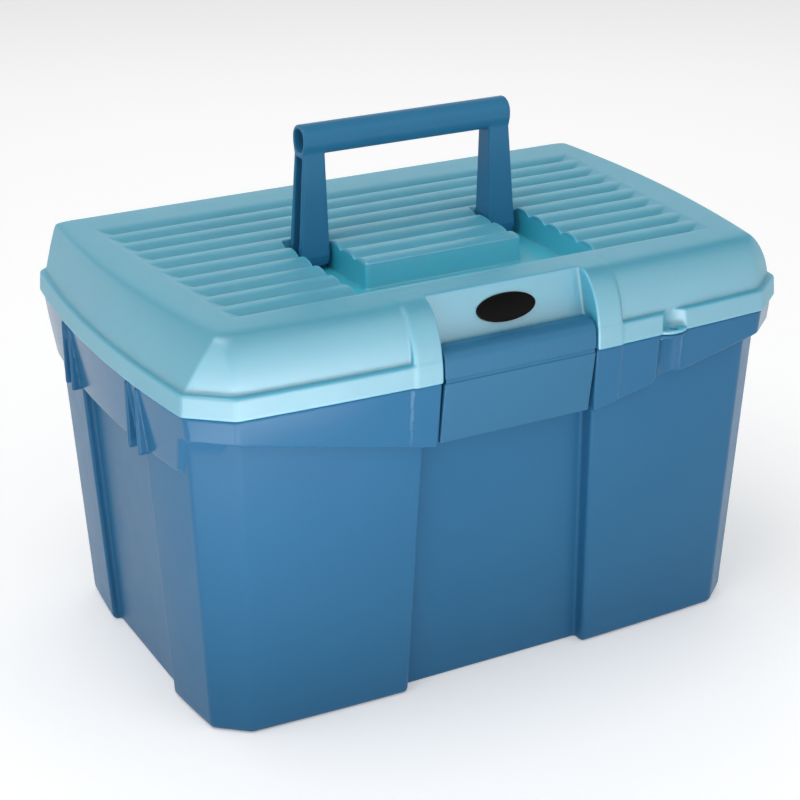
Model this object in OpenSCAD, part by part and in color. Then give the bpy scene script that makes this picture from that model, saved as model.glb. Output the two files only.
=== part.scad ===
// Hinged storage box for horse grooming kit: drafted tub, ribbed lid, folding handle,
// front latch on a film hinge and a lift-out tray. Millimetres, +Z up, front towards -Y.
// The origin is the middle of the underside of the tub.

/* [Box] */
// length over the bowed ends of the lid rim
box_l = 400; // [370:1:440]
// depth from the front of the lid rim to the hinge barrels
box_d = 275; // [255:1:310]
// height of the parting line between tub and lid
part_z = 202.4; // [185:0.1:230]
// height of the lid above the parting line
lid_h = 42.8; // [42:0.1:52]
// wall of the tub and the lid
wall = 2.6; // [2.2:0.1:3]
// outward bow of each end
end_bow = 7.8; // [3:0.1:9]
// outward bow of the front
front_bow = 5.9; // [3:0.1:8]
// corner cut, measured along the front
cut_x = 23.4; // [18:0.1:28]
// corner cut, measured along the end
cut_y = 19.7; // [15:0.1:24]
// gap between the lid rim and the tub rim
part_gap = 0.3; // [0.2:0.1:0.8]

/* [Tub] */
// inset of the end walls at the foot
foot_in_x = 15.3; // [12:0.1:20]
// inset of the front wall at the foot
foot_in_y = 20.7; // [16:0.1:25]
// inset of the back wall at the foot
foot_in_b = 23.1; // [16:0.1:25]
// inset of the corner cuts at the foot
foot_in_c = 22.5; // [18:0.1:28]
// inset of the end walls at the rim
rim_in_x = 5.9; // [5:0.1:9]
// inset of the front and back walls at the rim
rim_in_y = 10.2; // [9:0.1:12]
// rounding of the foot edge
foot_r = 3.6; // [2:0.1:6]
// depth of the sunk middle panel in the front
panel_deep = 9.3; // [6:0.1:11]
// half width of that panel at the foot
panel_foot = 60.4; // [57:0.1:66]
// half width of that panel at the rim
panel_rim = 53.2; // [52.5:0.1:56]
// depth of the sunk panel in each end
end_deep = 5; // [3:0.1:7]
// half length of the sunk panel in each end
end_half = 49.8; // [40:0.1:56]

/* [Skirt] */
// wall of the skirt under the rim
skirt_t = 2.4; // [2:0.1:3]
// inset of the skirt from the lid rim
skirt_in = 2; // [1:0.1:3]
// skirt height beside the latch and along the ends
skirt_h = 39.5; // [34:0.5:44]
// skirt height at the corners
skirt_low = 15; // [12:0.5:20]
// inward lean of the skirt over its height, ends
lean_x = 4.6; // [2:0.1:4.8]
// inward lean of the skirt over its height, front
lean_y = 3.4; // [2:0.1:4.5]
// distance from the middle at which the end skirts close back to the tub, front
tab_y = 93.5; // [84:0.5:98]
// the same at the back
tab_back = 102.5; // [84:0.5:104]
// tilt of the closing walls of the end skirts
tab_a = 18; // [0:1:20]
// thickness of the carrying fins on the ends
fin_t = 2.4; // [2:0.1:3.5]
// distance of the inner fins from the middle
fin_in = 46; // [40:0.5:48]
// distance of the outer fins from the middle
fin_out = 58.5; // [54:0.5:66]
// inset of the fins from the face of the lid rim
fin_under = 0.8; // [0.6:0.1:1.6]

/* [Lid] */
// height of the lid rim band
rim_h = 12.6; // [10:0.1:15]
// inset of the dome from the rim, the narrow ledge
ledge = 4.8; // [3.5:0.1:6]
// run of the front curve from the ledge to the flat top
dome_front = 18.5; // [14:0.5:24]
// run of the back curve
dome_back = 23.5; // [18:0.5:28]
// lean of the end slopes at the front corner
dome_side_f = 21.5; // [12:0.5:22]
// lean of the end slopes at the back corner
dome_side_b = 8.5; // [7:0.5:16]
// share of a straight slope in the curve of the ends, front corner
front_mix = 0.55; // [0:0.05:1]
// share of a straight slope in the curve of the ends, back corner
back_mix = 0.8; // [0:0.05:1]
// run of the curve of the pillars beside the latch
brow_run = 23.4; // [20:0.1:26]
// width of the pillars beside the latch
pillar_w = 17.5; // [14:0.1:22]
// run of the corner facets
dome_cut = 13.6; // [10:0.5:16]

/* [Ribs] */
// number of valleys pressed into the lid top
rib_n = 10; // [8:1:10]
// distance from valley to valley
rib_pitch = 17.9; // [16:0.1:18.5]
// depth of the valleys
rib_deep = 3; // [2:0.1:3.5]
// place of the rearmost valley
rib_back = 73; // [66:0.5:76]
// half length of the valleys at the back
rib_half_b = 166; // [140:1:170]
// half length of the valleys at the front
rib_half_f = 154; // [130:1:160]

/* [Handle] */
// room beside each leg foot, outer side of the bay
leg_room = 5; // [3:0.1:8]
// room beside each leg foot, island side
island_room = 1.9; // [1:0.1:4]
// width of a leg at its foot
leg_w = 18.6; // [14:0.1:22]
// flare of a leg beyond the end of the grip
leg_flare = 4; // [2:0.1:6]
// distance of the pivot from the middle of the grip
leg_l = 68.6; // [66:0.1:74]
// height of the pivot above the parting line
pivot_h = 34.8; // [34:0.1:40]
// width of the grip, which has round sides
grip_d = 16.4; // [14:0.1:17]
// height of the grip
grip_h = 18.2; // [17.2:0.1:20]
// wall of the hollow grip
grip_t = 2.4; // [2:0.1:4]
// room in front of the folded grip
bay_reach = 11.3; // [8:0.1:14]
// room for the fingers behind the folded grip
finger_room = 10; // [8:0.1:14]
// half length of the grip
grip_half = 68; // [66:0.5:72]
// web of the channel legs
leg_web = 3.5; // [2.6:0.1:4.5]
// width of the channel in the legs
slot_w = 8; // [6:0.1:9]
// radius of the rounded leg foot
foot_rad = 8.5; // [7:0.1:9]
// diameter of the moulded trunnions
trunnion_d = 8; // [6:0.1:9]
// radial running clearance of every pivot
run_gap = 0.05; // [0.02:0.01:0.1]
// free space around the folded handle
bay_gap = 0.6; // [0.4:0.1:1.5]

/* [Latch] */
// half width of the latch
latch_half = 48.4; // [40:0.1:48.6]
// rounding of the upper edge of the latch plate
plate_r = 5.5; // [3:0.1:6]
// half width of the latch opening in the lid
mouth_half = 49.6; // [49.4:0.1:51]
// height of the latch plate above the parting line
plate_h = 17.5; // [16:0.1:20]
// height of the swinging flap below the parting line
flap_h = 38.7; // [34:0.1:39]
// wall of plate and flap
latch_t = 3; // [2.4:0.1:3.5]
// half of the visible slit at the film hinge
slit = 1.2; // [0.6:0.1:1.4]
// thickness of the film hinge
film_t = 0.5; // [0.4:0.05:0.6]
// drop of the catch bar below the parting line
catch_drop = 31.4; // [28:0.1:32]
// thickness of the catch bar
catch_t = 3.4; // [3:0.1:4]
// play between hook and catch bar
catch_gap = 0.8; // [0.5:0.1:1.2]
// thickness of the hook
hook_t = 2.4; // [2:0.1:3]
// inward lean of the flap over its height
flap_lean = 6.2; // [4:0.1:7]
// depth of the latch seat behind the front of the rim
seat_deep = 11; // [10:0.1:13]
// inset of the latch face from the front of the rim
face_in = 1.1; // [0.8:0.1:1.6]
// half width of the catch bar and hook
catch_half = 32; // [24:1:38]

/* [Padlock eye] */
// place of the eye along the front
eye_x = 102.5; // [85:0.5:130]
// radius of the round pocket above and below the eye
eye_r = 9.4; // [8:0.1:10]
// distance of the middle of that pocket in front of the rim
eye_out = 4.6; // [4:0.1:5.6]
// diameter of the hole for the shackle
eye_d = 4.6; // [4:0.1:6]
// thickness of each perforated shelf
eye_t = 2.5; // [2:0.1:3.5]

/* [Hinge] */
// distance of each hinge from the middle
hinge_x = 105; // [80:1:125]
// outer radius of the hinge barrels
barrel_r = 3.6; // [3.2:0.1:3.9]
// diameter of the hinge pins
pin_d = 4; // [3:0.1:4.5]
// length of the lid barrel
barrel_l = 24; // [16:0.5:30]
// length of each tub barrel
side_l = 12; // [8:0.5:16]
// gap between neighbouring barrels
barrel_gap = 0.3; // [0.2:0.1:0.6]

/* [Tray] */
// free space between the tray and the tub wall
tray_gap = 4.5; // [3:0.1:8]
// overlap of the tray ledges under the tray
ledge_over = 6; // [4:0.5:9]
// half length of the tray ledges
ledge_half = 40; // [30:1:45]
// thickness of the tray ledges
ledge_t = 4; // [3:0.5:6]
// radius of the finger notches in the tray ends
notch_r = 16; // [12:0.5:20]
// place of the finger notches, from the middle
notch_y = 44; // [30:1:60]
// place of the long wall of the tray, from the middle
long_wall_y = 14; // [0:1:30]
// radius of the tray pockets
pocket_r = 8; // [4:0.5:12]
// height of the tray
tray_h = 42; // [30:1:45]
// wall of the tray
tray_t = 2.2; // [1.8:0.1:3]
// depth of the tray lip below the parting line
tray_drop = 8.7; // [6:0.1:40]
// corner radius of the tray
tray_r = 22; // [18:1:30]

/* [Badge] */
// step from the latch seat back to the badge panel
panel_step = 5.3; // [5:0.1:8]
// lean of the badge panel over its height
badge_run = 7.6; // [5:0.1:8]
// height of the badge above the foot of its panel
badge_up = 11.9; // [10:0.1:13]
// length of the blank oval badge
badge_l = 38; // [30:0.5:44]
// height of the badge
badge_w = 16; // [14:0.5:18]
// thickness of the badge
badge_t = 1.4; // [1:0.1:2]

/* [Hidden] */
$fn = 64;
e = 0.02;
rim_x = box_l / 2 - end_bow;
rim_y = box_d / 2 - front_bow;
rim_b = box_d / 2 - 2 * barrel_r - 0.8;
cut_n = norm([cut_x, cut_y]);
nx = cut_y / cut_n;
ny = cut_x / cut_n;
rim_c = rim_x * nx + (rim_y - cut_y) * ny;
rim_z = part_z - part_gap;
top_z = part_z + lid_h;
ledge_z = part_z + rim_h;
rim_in_c = rim_in_y + 0.4;
skirt_z = rim_z - skirt_h;
low_z = rim_z - skirt_low;
hinge_y = box_d / 2 - barrel_r;
hinge_z = part_z;
pivot_z = part_z + pivot_h;
grip_z = pivot_z + leg_l;
leg_in = grip_half + leg_flare - leg_w;
slot_z0 = pivot_z - foot_rad + leg_web;
slot_z1 = grip_z - grip_h / 2 - 1;
bay_half = grip_half + leg_flare + leg_room;
island_half = leg_in - island_room;
bay_z = pivot_z - foot_rad - bay_gap;
bay_front = -(leg_l + grip_h / 2 + bay_reach);
bay_back = foot_rad + bay_gap;
island_y = -(leg_l - grip_h / 2 - finger_room);
hump_z = top_z - 0.25;
hump_r = (rib_pitch * rib_pitch / 4 + rib_deep * rib_deep) / (2 * rib_deep);
front_y = -box_d / 2;
seat_y = front_y + seat_deep;
face_y = front_y + face_in;
film_y = face_y + 0.65;
mouth_low = mouth_half + 1.9;
panel_a = atan((foot_in_y - rim_in_y) / rim_z);
panel_y = -(rim_y - foot_in_y + 3.9) + panel_deep;
end_a = atan((foot_in_x - rim_in_x + 1.2) / rim_z);
end_x = rim_x - foot_in_x + 4 - end_deep;
catch_z = part_z - catch_drop;
side_y = rim_y - cut_y;
corner_x = rim_x - cut_x;
tray_z = part_z - tray_drop - tray_h;
tray_x = end_x + tan(end_a) * tray_z - wall - tray_gap;
tray_y = -panel_y + tan(panel_a) * tray_z - wall - tray_gap;
eye_y = -(rim_y + front_bow * (1 - pow(eye_x / corner_x, 2)));
badge_z0 = part_z + plate_h - 0.8;
badge_z1 = top_z - 1;
badge_a = atan(badge_run / (badge_z1 - badge_z0));

// plan outline set in from the lid rim: ends (front, back), front, corner cuts, back
function plan(sf, sb, f, c, b, k) =
    let (xf = rim_x - sf, xb = rim_x - sb, yf = rim_y - f, yb = rim_b - b, cc = rim_c - c,
         fx = (cc - yf * ny) / nx,
         sy = (cc - xf * nx) / ny,
         bx = (cc - yb * ny) / nx,
         by = (cc - xb * nx) / ny,
         n = 10,
         side = [for (i = [0:n]) let (u = i / n, w = 2 * u - 1)
                 [xf + (xb - xf) * u + k * end_bow * (1 - w * w), -sy + (sy + by) * u]],
         m = 12,
         front = [for (i = [0:m]) let (w = 2 * i / m - 1)
                  [fx * w, -yf - k * front_bow * (1 - w * w)]])
    concat(front, side, [[bx, yb], [-bx, yb]],
           [for (i = [n:-1:0]) [-side[i][0], side[i][1]]]);

// thin slice of that outline with softened corners
module slice(z, sf, sb, f, c, b, k, r) {
    translate([0, 0, z])
        linear_extrude(e)
            offset(r = r, $fn = 40)
                offset(delta = -r)
                    polygon(plan(sf, sb, f, c, b, k));
}

// drafted body of the tub, set in by off, from height z0 to height z1
module tub_body(off, z0, z1) {
    hull() {
        for (q = [[0, 1], [0.12, 0.53], [0.4, 0.2], [1, 0]])
            slice(z0 + q[0] * foot_r, foot_in_x + off + q[1] * foot_r, foot_in_x + off + q[1] * foot_r,
                  foot_in_y + off + q[1] * foot_r, foot_in_c + off + q[1] * foot_r,
                  foot_in_b + off + q[1] * foot_r, 0.75, 6);
        slice(z1 - e, rim_in_x + off, rim_in_x + off, rim_in_y + off, rim_in_c + off,
              rim_in_y + off, 1, 7);
    }
}

// block that sinks the middle of the front, grown by g for the inside of the wall
module front_panel(g) {
    translate([0, panel_y + g, 0])
        rotate([panel_a, 0, 0])
            translate([0, 0, -6])
                rotate([90, 0, 0])
                    linear_extrude(60)
                        polygon([[-panel_foot - g, 0], [panel_foot + g, 0],
                                 [panel_rim + g, rim_z + 20], [-panel_rim - g, rim_z + 20]]);
}

// block that sinks the middle of one end
module end_panel(g) {
    translate([end_x - g, 0, 0])
        rotate([0, end_a, 0])
            translate([0, -end_half - g, -6])
                cube([40, 2 * end_half + 2 * g, rim_z - 4 + g]);
}

// both ends at once
module ends() {
    children();
    mirror([1, 0, 0])
        children();
}

// skirt body hanging under the tub rim
module skirt_body(off, z0, z1) {
    d = (rim_z - z0) / skirt_h;
    hull() {
        slice(z0, skirt_in + off + lean_x * d, skirt_in + off + lean_x * d, skirt_in + off + lean_y * d,
              skirt_in + off + lean_y * d, skirt_in + off + lean_y * d, 1, 3);
        slice(z1 - e, skirt_in + off, skirt_in + off, skirt_in + off, skirt_in + off,
              skirt_in + off, 1, 3);
    }
}

// distance of the foot of a closing wall along its normal, for an end skirt that ends at y
function tab_c(y) = (rim_x + end_bow * (1 - pow(y / side_y, 2)) - skirt_in - lean_x) * nx + y * ny;

// room of one end skirt between its two tilted closing walls, made smaller by g
module tab_room(g) {
    difference() {
        translate([corner_x, -box_d, skirt_z - skirt_h])
            cube([box_l, 2 * box_d, 2 * skirt_h]);
        for (q = [[-1, tab_y], [1, tab_back]])
            translate([0, 0, skirt_z])
                rotate([0, 0, q[0] * atan2(ny, nx)])
                    translate([tab_c(q[1]) - g, 0, 0])
                        rotate([0, tab_a, 0])
                            translate([0, -box_d, -box_d])
                                cube([box_d, 2 * box_d, 2 * box_d]);
    }
}

// walls that close the end skirts back to the tub
module tab_walls() {
    ends()
        difference() {
            tab_room(0);
            tab_room(skirt_t);
        }
}

// the stepped lower edge of the skirt: deep beside the latch and along the ends, shallow at the corners
module skirt_cut() {
    drop = low_z - skirt_z + 30;
    ends()
        difference() {
            translate([corner_x, -box_d, skirt_z - 30])
                cube([box_l, 2 * box_d, drop]);
            tab_room(0);
        }
    ends()
        translate([corner_x - e, -box_d, skirt_z - 30])
            cube([box_l, 2 * box_d, 30]);
    translate([0, -box_d / 4, 0])
        rotate([90, 0, 0])
            linear_extrude(box_d)
                polygon([[-corner_x - e, skirt_z - 30], [corner_x + e, skirt_z - 30], [corner_x + e, low_z],
                         [mouth_low, skirt_z], [-mouth_low, skirt_z], [-corner_x - e, low_z]]);
    translate([-corner_x - e, box_d / 4, skirt_z - 30])
        cube([2 * corner_x + 2 * e, box_d, drop]);
}

// opening for the latch, between the ends of the skirt, from depth y to the front
module mouth(g, y) {
    translate([0, y, 0])
        rotate([90, 0, 0])
            linear_extrude(box_d)
                polygon([[-mouth_low - g, skirt_z - 20], [mouth_low + g, skirt_z - 20],
                         [mouth_half + g, part_z + 2], [-mouth_half - g, part_z + 2]]);
}

// round groove under the padlock eye, leaning with the skirt, with radius r and top at drop below the rim
module eye_groove(r, drop) {
    translate([eye_x, eye_y + skirt_in - eye_out, rim_z])
        rotate([atan(lean_y / skirt_h), 0, 0])
            translate([0, 0, -skirt_h - 20])
                cylinder(r = r, h = skirt_h + 20 - drop);
}

// thin perforated shelf of the padlock eye
module eye_shelf(z) {
    intersection() {
        translate([eye_x, eye_y + 11.2, z])
            cylinder(r = 14, h = eye_t);
        translate([eye_x - eye_r, eye_y - 10, z - 1])
            cube([2 * eye_r, 16, eye_t + 2]);
    }
}

// reach of the carrying fin at distance y, which follows the lid rim
function fin_x(y) = rim_x + end_bow * (1 - pow(y / side_y, 2)) - fin_under;

// hinge barrel along X with a web back to the body
module barrel(x, l, z0, z1) {
    translate([x, hinge_y, hinge_z])
        rotate([0, 90, 0])
            cylinder(r = barrel_r, h = l);
    translate([x, rim_b - 4, z0])
        cube([l, hinge_y - rim_b + 4, z1 - z0]);
}

module tub() {
    color([0.25, 0.46, 0.62])
        difference() {
            union() {
                difference() {
                    skirt_body(0, skirt_z - 10, rim_z);
                    difference() {
                        skirt_body(skirt_t, skirt_z - 12, rim_z - wall);
                        difference() {
                            mouth(skirt_t, -box_d / 4);
                            mouth(0, 0);
                        }
                        tab_walls();
                        eye_groove(eye_r + skirt_t, 0);
                    }
                    skirt_cut();
                    eye_groove(eye_r, eye_t);
                    mouth(0, seat_y);
                }
                difference() {
                    tub_body(0, 0, rim_z);
                    front_panel(0);
                    ends()
                        end_panel(0);
                }
                eye_shelf(rim_z - eye_t);
                ends()
                    for (y = [-fin_out, -fin_in, fin_in, fin_out])
                        translate([end_x + 8, y - fin_t / 2, skirt_z - 1.6])
                            cube([fin_x(y) - end_x - 8, fin_t, skirt_h]);
                translate([-catch_half, seat_y + 0.7, catch_z])
                    cube([2 * catch_half, panel_y - tan(panel_a) * catch_z - seat_y + 1, catch_t]);
                ends()
                    for (x = [hinge_x - barrel_l / 2 - barrel_gap - side_l,
                              hinge_x + barrel_l / 2 + barrel_gap])
                        barrel(x, side_l, hinge_z - barrel_r, rim_z - 0.2);
            }
            difference() {
                tub_body(wall, wall, rim_z + 2);
                front_panel(wall);
                ends()
                    end_panel(wall);
                ends()
                    translate([tray_x - ledge_over, -ledge_half, tray_z - ledge_t])
                        cube([ledge_over + tray_gap + 4 * wall, 2 * ledge_half, ledge_t]);
            }
            translate([eye_x, eye_y + 1.3, rim_z - 20])
                cylinder(d = eye_d, h = 40);
            ends()
                translate([hinge_x - 40, hinge_y, hinge_z])
                    rotate([0, 90, 0])
                        cylinder(d = pin_d + 2 * run_gap, h = 80);
        }
}

// rounded dome of the lid, set in by off and lowered by drop
module dome(off, z0, drop) {
    hull() {
        slice(z0, ledge - 1.6 + off, ledge - 1.6 + off, ledge - 0.6 + off, ledge - 0.6 + off,
              ledge - 0.6 + off, 1, 4);
        for (t = [0, 0.3, 0.55, 0.75, 0.88, 0.96, 1])
            dome_slice(t, off, drop);
    }
}

// one slice of the dome at fraction t of its height
module dome_slice(t, off, drop) {
    q = 1 - sqrt(1 - t * t);
    sf = front_mix * t + (1 - front_mix) * q;
    sb = back_mix * t + (1 - back_mix) * q;
    slice(ledge_z + t * (top_z - ledge_z - drop) - (t == 1 ? e : 0),
          ledge - 1 + off + dome_side_f * sf, ledge - 1 + off + dome_side_b * sb,
          ledge + off + dome_front * q, ledge + off + dome_cut * q, ledge + off + dome_back * q, 1, 4);
}

// U-shaped plan of the handle bay, grown by g
module bay_plan(g) {
    difference() {
        translate([-bay_half - g, bay_front - g])
            square([2 * bay_half + 2 * g, bay_back - bay_front + 2 * g]);
        translate([-island_half + g, island_y + g])
            square([2 * island_half - 2 * g, box_d]);
    }
}

// valleys between the humps of the lid top, running out at both ends
module valleys() {
    y0 = rib_back + rib_pitch / 2;
    y1 = y0 - rib_n * rib_pitch;
    ramp = atan((rib_deep + 0.25) / 12);
    turn = atan((rib_half_b - rib_half_f) / (y0 - y1));
    difference() {
        translate([-box_l / 2, y1, hump_z - rib_deep - 0.5])
            cube([box_l, y0 - y1, rib_deep + 3]);
        for (j = [0:rib_n])
            translate([-box_l / 2 - 1, y0 - j * rib_pitch, hump_z - hump_r])
                rotate([0, 90, 0])
                    cylinder(r = hump_r, h = box_l + 2, $fn = 180);
        ends()
            translate([(rib_half_b + rib_half_f) / 2, (y0 + y1) / 2, top_z])
                rotate([0, -ramp, -turn])
                    translate([-60, -120, -30])
                        cube([180, 240, 30]);
    }
}

// hollows under the humps, so that the top is an even sheet
module hump_hollows() {
    y0 = rib_back + rib_pitch / 2;
    for (j = [1:rib_n - 1])
        translate([-rib_half_f + 14, y0 - j * rib_pitch, hump_z - hump_r])
            rotate([0, 90, 0])
                cylinder(r = hump_r - wall, h = 2 * rib_half_f - 28, $fn = 180);
}

// side profile in front of the badge panel and the latch seat, moved in by g
module latch_bay(g) {
    rotate([90, 0, 90])
        linear_extrude(2 * mouth_half + 2 * g, center = true)
            polygon([[front_y - 20, part_z - 9], [seat_y + g, part_z - 9],
                     [seat_y + g, part_z + plate_h - 8], [seat_y + g + panel_step, badge_z0],
                     [seat_y + g + panel_step + badge_run, badge_z1],
                     [seat_y + g + panel_step + badge_run + 1, top_z + 9], [front_y - 20, top_z + 9]]);
}

// front edge of a pillar or of the latch plate, from height h0 to height h1 over the parting line
function brow(y, h0, h1) =
    [for (i = [0:12]) let (h = h0 + (h1 - h0) * i / 12, t = max(0, (h - 4) / (lid_h - 4)))
     [y + brow_run * (1 - sqrt(1 - t * t)), part_z + h]];

// light pillars on both sides of the latch
module pillar() {
    translate([mouth_half, 0, 0])
        rotate([90, 0, 90])
            linear_extrude(pillar_w)
                polygon(concat(brow(front_y + 0.95, 0, lid_h - 0.4),
                               [[front_y + brow_run + 9, top_z - 0.4], [front_y + seat_deep + 1, part_z + 10],
                                [front_y + seat_deep + 1, part_z]]));
}

module lid() {
    color([0.50, 0.74, 0.82])
        difference() {
            union() {
                hull() {
                    slice(part_z, 0.5, 0.5, 0.5, 0.5, 0.5, 1, 3);
                    slice(part_z + 0.5, 0, 0, 0, 0, 0, 1, 3);
                    slice(ledge_z - 1.4, 0.15, 0.15, 0.15, 0.15, 0.15, 1, 3);
                    slice(ledge_z - 0.45, 0.6, 0.6, 0.6, 0.6, 0.6, 1, 3);
                    slice(ledge_z - e, 1.6, 1.6, 1.6, 1.6, 1.6, 1, 3);
                }
                dome(0, ledge_z - 5, 0);
                ends()
                    pillar();
                eye_shelf(part_z);
                ends()
                    barrel(hinge_x - barrel_l / 2, barrel_l, hinge_z + 0.5, hinge_z + barrel_r);
            }
            difference() {
                union() {
                    dome(wall, part_z - 1, wall + rib_deep + 0.25);
                    hump_hollows();
                    translate([0, 0, part_z - 1])
                        linear_extrude(rim_h - wall + 1)
                            polygon(plan(wall, wall, wall, wall, wall, 1));
                }
                translate([0, 0, bay_z - wall])
                    linear_extrude(lid_h)
                        bay_plan(wall);
                latch_bay(wall);
                translate([eye_x, eye_y - eye_out, part_z - 2])
                    cylinder(r = eye_r + wall, h = rim_h + 12);
                ends()
                    translate([island_half - wall - 2, 0, pivot_z])
                        rotate([0, 90, 0])
                            cylinder(d = trunnion_d + 7, h = 2);
                ends()
                    translate([hinge_x - barrel_l / 2, rim_b - wall - 2, part_z - 2])
                        cube([barrel_l, 6, rim_h]);
            }
            translate([0, 0, bay_z])
                linear_extrude(lid_h)
                    bay_plan(0);
            valleys();
            latch_bay(0);
            translate([eye_x, eye_y - eye_out, part_z + eye_t])
                cylinder(r = eye_r, h = rim_h);
            translate([eye_x, eye_y + 1.3, part_z - 5])
                cylinder(d = eye_d, h = 20);
            ends()
                translate([island_half - 8, 0, pivot_z])
                    rotate([0, 90, 0])
                        cylinder(d = trunnion_d + 2 * run_gap, h = 12);
            ends()
                translate([hinge_x - 40, hinge_y, hinge_z])
                    rotate([0, 90, 0])
                        cylinder(d = pin_d + 2 * run_gap, h = 80);
            ends()
                translate([latch_half - 18, seat_y - 5, part_z + 7])
                    rotate([-90, 0, 0])
                        cylinder(d = 6 + 2 * run_gap, h = 12);
        }
}

// one leg of the handle: a channel open to the outer side, with its trunnion on the island side
module leg() {
    difference() {
        intersection() {
            rotate([90, 0, 0])
                linear_extrude(40, center = true)
                    polygon([[leg_in + 1, grip_z - 2], [grip_half - 0.4, grip_z - 2],
                             [grip_half + leg_flare, pivot_z], [grip_half + leg_flare, pivot_z - foot_rad],
                             [leg_in, pivot_z - foot_rad], [leg_in, pivot_z]]);
            rotate([90, 0, 90])
                linear_extrude(2 * box_l, center = true)
                    union() {
                        polygon([[-6.2, grip_z], [6.2, grip_z], [foot_rad, pivot_z], [-foot_rad, pivot_z]]);
                        translate([0, pivot_z])
                            circle(r = foot_rad);
                    }
        }
        rotate([90, 0, 0])
            linear_extrude(slot_w, center = true)
                polygon([[leg_in + leg_web + 1, slot_z1], [grip_half + 20, slot_z1],
                         [grip_half + 20, slot_z0], [leg_in + leg_web, slot_z0]]);
    }
    translate([island_half - 4, 0, pivot_z])
        rotate([0, 90, 0])
            cylinder(d = trunnion_d, h = leg_in - island_half + 6);
}

// section of the grip or of its hole: round sides of width w, height h
module grip_section(w, h) {
    square([w, h - w], center = true);
    for (z = [-1, 1])
        translate([0, z * (h - w) / 2])
            circle(d = w);
}

module handle() {
    color([0.20, 0.40, 0.56])
        difference() {
            union() {
                translate([-grip_half, 0, grip_z])
                    rotate([90, 0, 90])
                        linear_extrude(2 * grip_half)
                            grip_section(grip_d, grip_h);
                ends()
                    leg();
            }
            translate([-grip_half - 1, 0, grip_z])
                rotate([90, 0, 90])
                    linear_extrude(2 * grip_half + 2)
                        grip_section(grip_d - 2 * grip_t, grip_h - 2 * grip_t);
        }
}

module latch_plate() {
    y0 = face_y;
    h = plate_h;
    y1 = brow(y0, slit, h - plate_r)[12][0];
    color([0.27, 0.47, 0.62])
        union() {
            difference() {
                rotate([90, 0, 90])
                    linear_extrude(2 * latch_half, center = true)
                        polygon(concat(brow(y0, slit, h - plate_r),
                                [for (a = [10:10:90])
                                 [y1 + plate_r * (1 - cos(a)), part_z + h - plate_r * (1 - sin(a))]],
                                [[seat_y + 3, part_z + h - 1.2], [seat_y, part_z + h - 5],
                                 [seat_y, part_z + slit]]));
                rotate([90, 0, 90])
                    linear_extrude(2 * latch_half - 2 * latch_t, center = true)
                        polygon(concat(brow(y0 + latch_t, slit + latch_t, h - 6),
                                [[seat_y + 9, part_z + h - 5], [seat_y + 9, part_z + slit + latch_t]]));
            }
            ends()
                translate([latch_half - 18, face_y + 1.5, part_z + 7])
                    rotate([-90, 0, 0])
                        cylinder(d = 6, h = seat_y - face_y + wall + 1);
        }
}

module latch_film() {
    color([0.30, 0.50, 0.64])
        translate([-latch_half + 0.6, film_y - film_t / 2, part_z - slit])
            cube([2 * latch_half - 1.2, film_t, 2 * slit]);
}

module latch_flap() {
    lean = flap_lean;
    hook_z = catch_z - catch_gap;
    color([0.26, 0.46, 0.61])
        union() {
            rotate([90, 0, 90])
                linear_extrude(2 * latch_half, center = true)
                    polygon([[face_y + 0.6, part_z - slit], [face_y, part_z - slit - 0.6],
                             [face_y + lean, part_z - flap_h + 0.6], [face_y + lean + 0.6, part_z - flap_h],
                             [face_y + lean + latch_t, part_z - flap_h], [face_y + latch_t, part_z - slit]]);
            rotate([90, 0, 90])
                linear_extrude(2 * catch_half - 4, center = true)
                    polygon([[face_y + lean + latch_t / 2, hook_z - 2 * hook_t],
                             [seat_y + 5, hook_z - hook_t], [seat_y + 5, hook_z],
                             [face_y + lean + latch_t / 2, hook_z]]);
        }
}

module badge() {
    color([0.03, 0.03, 0.04])
        translate([0, seat_y + panel_step + tan(badge_a) * badge_up, badge_z0 + badge_up])
            rotate([90 - badge_a, 0, 0])
                hull() {
                    linear_extrude(badge_t * 0.55)
                        oval(badge_l, badge_w);
                    linear_extrude(badge_t * 0.85)
                        oval(badge_l - 0.8, badge_w - 0.8);
                    linear_extrude(badge_t)
                        oval(badge_l - 2.6, badge_w - 2.6);
                }
}

// plain ellipse outline
module oval(l, w) {
    polygon([for (i = [0:47]) [l / 2 * cos(i * 7.5), w / 2 * sin(i * 7.5)]]);
}

// hinge pin with a flat head seated on the outer barrel
module hinge_pin() {
    x1 = hinge_x + barrel_l / 2 + barrel_gap + side_l;
    color([0.70, 0.71, 0.72])
        union() {
            translate([x1 - barrel_l - 2 * barrel_gap - 2 * side_l - 0.5, hinge_y, hinge_z])
                rotate([0, 90, 0])
                    cylinder(d = pin_d, h = barrel_l + 2 * barrel_gap + 2 * side_l + 1);
            translate([x1, hinge_y, hinge_z])
                rotate([0, 90, 0])
                    cylinder(d = pin_d + 2, h = 1.2);
        }
}

module hinge_pin_right() {
    hinge_pin();
}

module hinge_pin_left() {
    mirror([1, 0, 0])
        hinge_pin();
}

// flat plate outline with round corners
module round_plate(x, y, r) {
    square([2 * x - 2 * r, 2 * y], center = true);
    square([2 * x, 2 * y - 2 * r], center = true);
    for (a = [-1, 1], b = [-1, 1])
        translate([a * (x - r), b * (y - r)])
            circle(r = r);
}

// round-cornered pocket of the tray between two plan corners
module pocket(x0, y0, x1, y1) {
    translate([(x0 + x1) / 2, (y0 + y1) / 2, tray_z + tray_t])
        linear_extrude(tray_h)
            round_plate((x1 - x0) / 2, (y1 - y0) / 2, pocket_r);
}

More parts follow.
